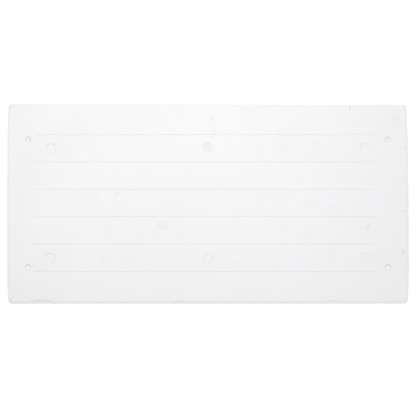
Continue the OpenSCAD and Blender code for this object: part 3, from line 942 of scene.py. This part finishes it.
def make_laminate():
    """Weave of two rovings: each is the absolute sine of the distance across it, and a checker
    of the same pitch says which of the two lies on top. Resin pools between them, darker, and
    clouds of it are thicker."""
    material, tree, shader = new_material("laminate", 0.3, IOR=1.52, Coat_Roughness=0.12)
    place = object_position(tree)
    tone, dulled, specks = use_group(tree, weathering, {"Vector": place})
    drift = noise(tree, place, 11.0, 1.0)
    x, y, _ = add_node(tree, "SeparateXYZ", {0: place}).outputs
    columns = compute(tree, "DIVIDE", compute(tree, "MULTIPLY_ADD", drift, 0.006, x), ROVING_PITCH)
    rows = compute(tree, "DIVIDE", compute(tree, "MULTIPLY_ADD", drift, -0.006, y), ROVING_PITCH)
    warp, weft = (compute(tree, "ABSOLUTE", compute(tree, "SINE", compute(
        tree, "MULTIPLY", across, math.pi))) for across in (columns, rows))
    cell = compute(tree, "ADD", compute(tree, "FLOOR", columns), compute(tree, "FLOOR", rows))
    over = compute(tree, "ABSOLUTE", compute(tree, "FLOORED_MODULO", cell, 2.0))
    lifted = compute(tree, "MULTIPLY", warp, compute(tree, "MULTIPLY_ADD", weft, 0.5, 0.5))
    dipped = compute(tree, "MULTIPLY", weft, compute(tree, "MULTIPLY_ADD", warp, 0.5, 0.5))
    weave = compute(tree, "ADD", compute(tree, "MULTIPLY", lifted, over), compute(
        tree, "MULTIPLY", dipped, compute(tree, "SUBTRACT", 1.0, over)))
    strands = noise(tree, stretched(tree, place, (900, 60, 1)), 1.0, 2.0)
    colour = blend(tree, weave, (0.36, 0.42, 0.31, 1), (0.66, 0.70, 0.60, 1))
    colour = tint(tree, colour, strands, 0.3, (0.74, 0.76, 0.68, 1))
    colour = blend(tree, remap(tree, tone, 0.4, 0.68, 0.0, 0.35), colour, (0.40, 0.43, 0.30, 1))
    colour = tint(tree, colour, specks, 0.3, (0.2, 0.19, 0.15, 1))
    tree.links.new(colour, shader["Base Color"])
    tree.links.new(compute(tree, "MULTIPLY_ADD", dulled, 0.2, 0.28), shader["Roughness"])
    tree.links.new(compute(tree, "MULTIPLY_ADD", dulled, -0.3, 0.5), shader["Coat Weight"])
    set_bump(tree, shader, weave, 0.35 * MM)
    return material


def cover(name, material):
    """Puts a material in every slot of a CAD node."""
    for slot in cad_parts[name].material_slots:
        slot.material = material


cover("bottom_skin", make_laminate())

# ----------------------------------------------------------
# Core
# The staves are knot-free pine, planed and glued edge to edge, and the blocks across the ends
# are of a darker, closer grained timber. Beech dowels tie them together.
# ----------------------------------------------------------


def make_wood_grain():
    """Group for sawn timber. Every board has its own pith, moved by a random value of its
    number, which is the place across the lay-up over the board's width. Rings is the fraction
    of the distance from the pith in ring spacings, cubed, Fibre is noise drawn out along the
    board, and Board is the random value."""
    tree, given, out = new_group("wood_grain", [
        ("Vector", "Vector", None), ("Board Width", "Float", 0.07),
        ("Ring Spacing", "Float", 0.003)], ["Rings", "Fibre", "Board"])
    _, y, z = add_node(tree, "SeparateXYZ", {0: given[0]}).outputs
    board = compute(tree, "ROUND", compute(tree, "DIVIDE", y, given[1]))
    chance = add_node(tree, "TexWhiteNoise", {"W": board}, noise_dimensions="1D").outputs
    middle = compute(tree, "MULTIPLY", board, given[1])
    shift = compute(tree, "MULTIPLY", compute(tree, "SUBTRACT", chance[0], 0.5), 0.06)
    wander = noise(tree, stretched(tree, given[0], (2.2, 9, 9)), 1.0, 3.0)
    aside = compute(tree, "SUBTRACT", compute(tree, "SUBTRACT", y, middle), shift)
    above = compute(tree, "ADD", z, compute(tree, "MULTIPLY_ADD", chance[0], 0.05, 0.02))
    radius = compute(tree, "SQRT", sum_of_squares(tree, aside, above))
    radius = compute(tree, "MULTIPLY_ADD", wander, 0.022, radius)
    rings = compute(tree, "FRACT", compute(tree, "DIVIDE", radius, given[2]))
    tree.links.new(compute(tree, "POWER", rings, 3.0), out[0])
    tree.links.new(noise(tree, stretched(tree, given[0], (30, 1100, 1100)), 1.0, 3.0, 0.6), out[1])
    tree.links.new(chance[0], out[2])
    return tree


wood_grain = make_wood_grain()


def make_timber(name, early, late, board_width, ring_spacing, turn_z=0.0):
    """Timber whose colour goes from early to late wood across each ring, is lighter or darker
    from board to board, and is flecked by its fibres."""
    material, tree, shader = new_material(name, 0.6)
    place = add_node(tree, "Mapping", {
        "Vector": object_position(tree), "Rotation": (0, 0, turn_z)}).outputs[0]
    rings, fibre, board = use_group(tree, wood_grain, {
        "Vector": place, "Board Width": board_width, "Ring Spacing": ring_spacing})
    colour = blend(tree, rings, early, late)
    colour = tint(tree, colour, fibre, 0.35, late)
    colour = tint(tree, colour, board, 0.3, early)
    tree.links.new(colour, shader["Base Color"])
    tree.links.new(compute(tree, "MULTIPLY_ADD", fibre, 0.25, 0.45), shader["Roughness"])
    set_bump(tree, shader, compute(tree, "ADD", fibre, rings), 0.12 * MM)
    return material


pine = make_timber("pine", (0.72, 0.50, 0.28, 1), (0.42, 0.22, 0.09, 1), GROOVE_PITCH, 0.0032)
for i in range(1, 8):
    cover(f"core_stave_{i}", pine)
hardwood = make_timber(
    "hardwood", (0.42, 0.25, 0.13, 1), (0.24, 0.12, 0.055, 1), 0.5, 0.0021, math.pi / 2)
beech = make_timber("beech", (0.68, 0.46, 0.29, 1), (0.50, 0.29, 0.16, 1), 0.02, 0.0012)
for side in ("left", "right"):
    cover(f"end_block_{side}", hardwood)
    cover(f"dowels_{side}", beech)

# ----------------------------------------------------------
# Ground, light and camera
# The board lies on plain white paper under a soft window light from behind and a softbox
# overhead. The camera looks down on it through a long lens, from a little to the front.
# ----------------------------------------------------------

floor_mesh = bpy.data.meshes.new("floor")
floor_mesh.from_pydata([(-6, -6, 0), (6, -6, 0), (6, 6, 0), (-6, 6, 0)], [], [(0, 1, 2, 3)])
floor = bpy.data.objects.new("floor", floor_mesh)
bpy.context.scene.collection.objects.link(floor)
paper, _, paper_shader = new_material("paper", 0.9)
paper_shader["Base Color"].default_value = (0.14, 0.14, 0.14, 1)
paper_shader["Emission Color"].default_value = (1, 1, 1, 1)
paper_shader["Emission Strength"].default_value = 0.92
floor_mesh.materials.append(paper)

world = bpy.data.worlds.new("studio")
world.use_nodes = True
world.node_tree.nodes["Background"].inputs["Color"].default_value = (1, 1, 1, 1)
world.node_tree.nodes["Background"].inputs["Strength"].default_value = 0.78
bpy.context.scene.world = world


def add_light(name, watts, size, place, tilt):
    """A square soft light that faces down, tilted about X."""
    light = bpy.data.lights.new(name, "AREA")
    light.energy = watts
    light.size = size
    light_object = bpy.data.objects.new(name, light)
    bpy.context.scene.collection.objects.link(light_object)
    light_object.location = place
    light_object.rotation_euler = (math.radians(tilt), 0, 0)


add_light("window", 4.7, 1.4, (-0.06, 1.7, 1.6), -47)
add_light("softbox", 5.5, 1.0, (-0.05, 0.38, 1.6), 0)

# FRAME_SHARE is how much of the frame's width the board's length fills
TILT = math.radians(5)
DISTANCE = 14
LOOK_AT_Y = -0.0122
FRAME_SHARE = 0.9661
camera = bpy.data.cameras.new("camera")
camera.lens_unit = "FOV"
camera.angle = 2 * math.atan(HALF_LENGTH / FRAME_SHARE / DISTANCE)
camera.clip_end = 40
camera_object = bpy.data.objects.new("camera", camera)
bpy.context.scene.collection.objects.link(camera_object)
camera_object.location = (
    0, LOOK_AT_Y - DISTANCE * math.sin(TILT), FACE_Z + DISTANCE * math.cos(TILT))
camera_object.rotation_euler = (TILT, 0, 0)
bpy.context.scene.camera = camera_object
bpy.context.scene.view_settings.view_transform = "Standard"
